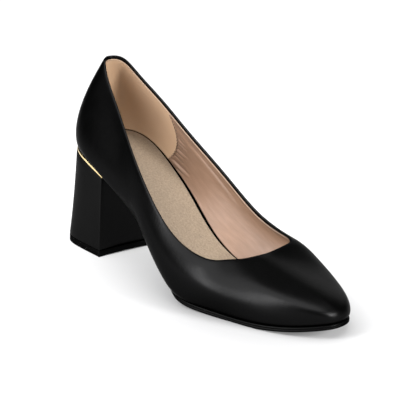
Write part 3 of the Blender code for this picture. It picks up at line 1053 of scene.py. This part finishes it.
# %% Lay the floor
FLOOR_HALF = 6.0
SHADE_MIDDLE = (0.055, -0.015, 0.0)
SHADE_STRETCH = (1.5, 1.0, 1.0)
SHADE_REACH = (0.03, 0.15)
PAINTED_SHADOW_GLOW = (0.20, 0.20, 0.20)
OPEN_GLOW = (0.86, 0.86, 0.86)


def white_table():
    """A plain matt white floor that glows, with a painted shadow where it glows less near the fore part of
    the shoe.
    """
    material = new_finish("white_table", 0.85, specular_ior_level=0.1, emission_strength=1.0)
    tree = material.node_tree
    cloud = noise(tree, places_on(tree), 3.0)
    around_vamp = places_on(tree, stretch=SHADE_STRETCH, shift=SHADE_MIDDLE)
    apart = add_node(tree, "ShaderNodeVectorMath", {"Vector": around_vamp})
    apart.operation = "LENGTH"
    # Painted shadow: 0 near the fore part, where the glow is lowered, and 1 on the open table.
    outside_painted_shadow = spread(tree, apart.outputs["Value"], SHADE_REACH, FULL_RANGE)
    feed(material,
         base_color=tint(tree, cloud, (0.22, 0.22, 0.222), (0.23, 0.23, 0.232)),
         emission_color=tint(tree, outside_painted_shadow, PAINTED_SHADOW_GLOW, OPEN_GLOW))
    return material


floor_mesh = bmesh.new()
bmesh.ops.create_grid(floor_mesh, x_segments=8, y_segments=8, size=FLOOR_HALF)
floor_data = bpy.data.meshes.new("floor")
floor_mesh.to_mesh(floor_data)
floor_mesh.free()
floor_data.materials.append(white_table())
floor = bpy.data.objects.new("floor", floor_data)
bpy.context.scene.collection.objects.link(floor)
floor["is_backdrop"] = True
print("floor:", 2 * FLOOR_HALF, "m wide")

# %% [markdown]
# ## The lights
# A tall panel at the near side draws the soft shine on the vamp, a wide one overhead lights the linings, a
# small one draws the spot on the toe and a long one behind greys the far rim. Each row of the table says
# where a light hangs as seen from the point that it is aimed at: its azimuth from the outer side and its
# elevation in degrees, its distance and its size in metres, and the point itself in millimetres. The lights
# are oval, since square corners would show in the gloss.

# %% Hang the lights
LightRow = namedtuple("LightRow", "name azimuth elevation distance width height watts aim_x aim_y aim_z")
LIGHTS = [
    LightRow("key_panel", -10.0, 30.0, 0.75, 0.25, 0.78, 11.5, 75.0, -27.0, 20.0),
    LightRow("top_panel", 5.0, 80.0, 1.1, 1.70, 1.30, 30.0, 40.0, 0.0, 40.0),
    LightRow("toe_light", 107.0, 26.0, 0.8, 0.26, 0.26, 11.0, 122.0, 0.0, 15.0),
    LightRow("back_panel", -146.0, 12.0, 2.4, 1.6, 0.45, 6.0, 70.0, 0.0, 30.0),
]


def direction(azimuth, elevation):
    """A unit vector at an azimuth from the outer side towards the toe and an elevation, in degrees."""
    turn, climb = math.radians(azimuth), math.radians(elevation)
    return Vector((math.sin(turn) * math.cos(climb), -math.cos(turn) * math.cos(climb), math.sin(climb)))


def hang_light(row):
    """A soft oval light that looks at the shoe."""
    back = direction(row.azimuth, row.elevation)
    data = bpy.data.lights.new(row.name, "AREA")
    data.shape = "ELLIPSE"
    data.size = row.width
    data.size_y = row.height
    data.energy = row.watts
    lamp = bpy.data.objects.new(row.name, data)
    lamp.location = Vector((row.aim_x, row.aim_y, row.aim_z)) * MM + back * row.distance
    lamp.rotation_euler = (-back).to_track_quat("-Z", "Y").to_euler()
    bpy.context.scene.collection.objects.link(lamp)
    print(f"{row.name}: {row.watts} W")


for row in LIGHTS:
    hang_light(row)

# %% Light the room a little
ROOM_LIGHT = 0.03

world = bpy.data.worlds.new("soft_room")
world.use_nodes = True
world.node_tree.nodes["Background"].inputs["Color"].default_value = (1.0, 1.0, 1.0, 1.0)
world.node_tree.nodes["Background"].inputs["Strength"].default_value = ROOM_LIGHT
bpy.context.scene.world = world
bpy.context.scene.view_settings.view_transform = "Standard"
print("room light:", ROOM_LIGHT)

# %% [markdown]
# ## The camera
# The camera stands where the reference view was taken from, one metre away, with a long lens. Its lens is
# shifted rather than turned, so that the framing is right without a change of perspective.

# %% Stand the camera
CAMERA_AZIMUTH = 50.4
CAMERA_ELEVATION = 17.7
CAMERA_DISTANCE = 1.001
CAMERA_ROLL = 1.3
CAMERA_TARGET = Vector((4.267, -0.038, 45.0)) * MM
FOCAL_PIXELS = 1597.6
IMAGE_PIXELS = 416
SENSOR = 36.0
TARGET_PIXEL = (206.8, 216.0)


def stand_camera():
    """The camera at the reference view's angle, with its lens shifted to the same framing."""
    back = direction(CAMERA_AZIMUTH, CAMERA_ELEVATION)
    data = bpy.data.cameras.new("camera")
    data.sensor_width = SENSOR
    data.lens = FOCAL_PIXELS / IMAGE_PIXELS * SENSOR
    data.shift_x = (IMAGE_PIXELS / 2 - TARGET_PIXEL[0]) / IMAGE_PIXELS
    data.shift_y = (TARGET_PIXEL[1] - IMAGE_PIXELS / 2) / IMAGE_PIXELS
    camera = bpy.data.objects.new("camera", data)
    camera.location = CAMERA_TARGET + back * CAMERA_DISTANCE
    roll = Matrix.Rotation(math.radians(CAMERA_ROLL), 4, "Z")
    camera.rotation_euler = ((-back).to_track_quat("-Z", "Y").to_matrix().to_4x4() @ roll).to_euler()
    bpy.context.scene.collection.objects.link(camera)
    bpy.context.scene.camera = camera
    print("lens:", round(data.lens, 1), "mm")


stand_camera()

# %% [markdown]
# ## Sizes
# The dressed shoe has to stay as big as the imported one, so how far each corner of its box moved is printed
# at the end.

# %% Print how far the box moved
visual_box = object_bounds()
for cad_corner, visual_corner in zip(cad_box, visual_box):
    print("corner moved by, mm:", [round((now - was) / MM, 2) for was, now in zip(cad_corner, visual_corner)])
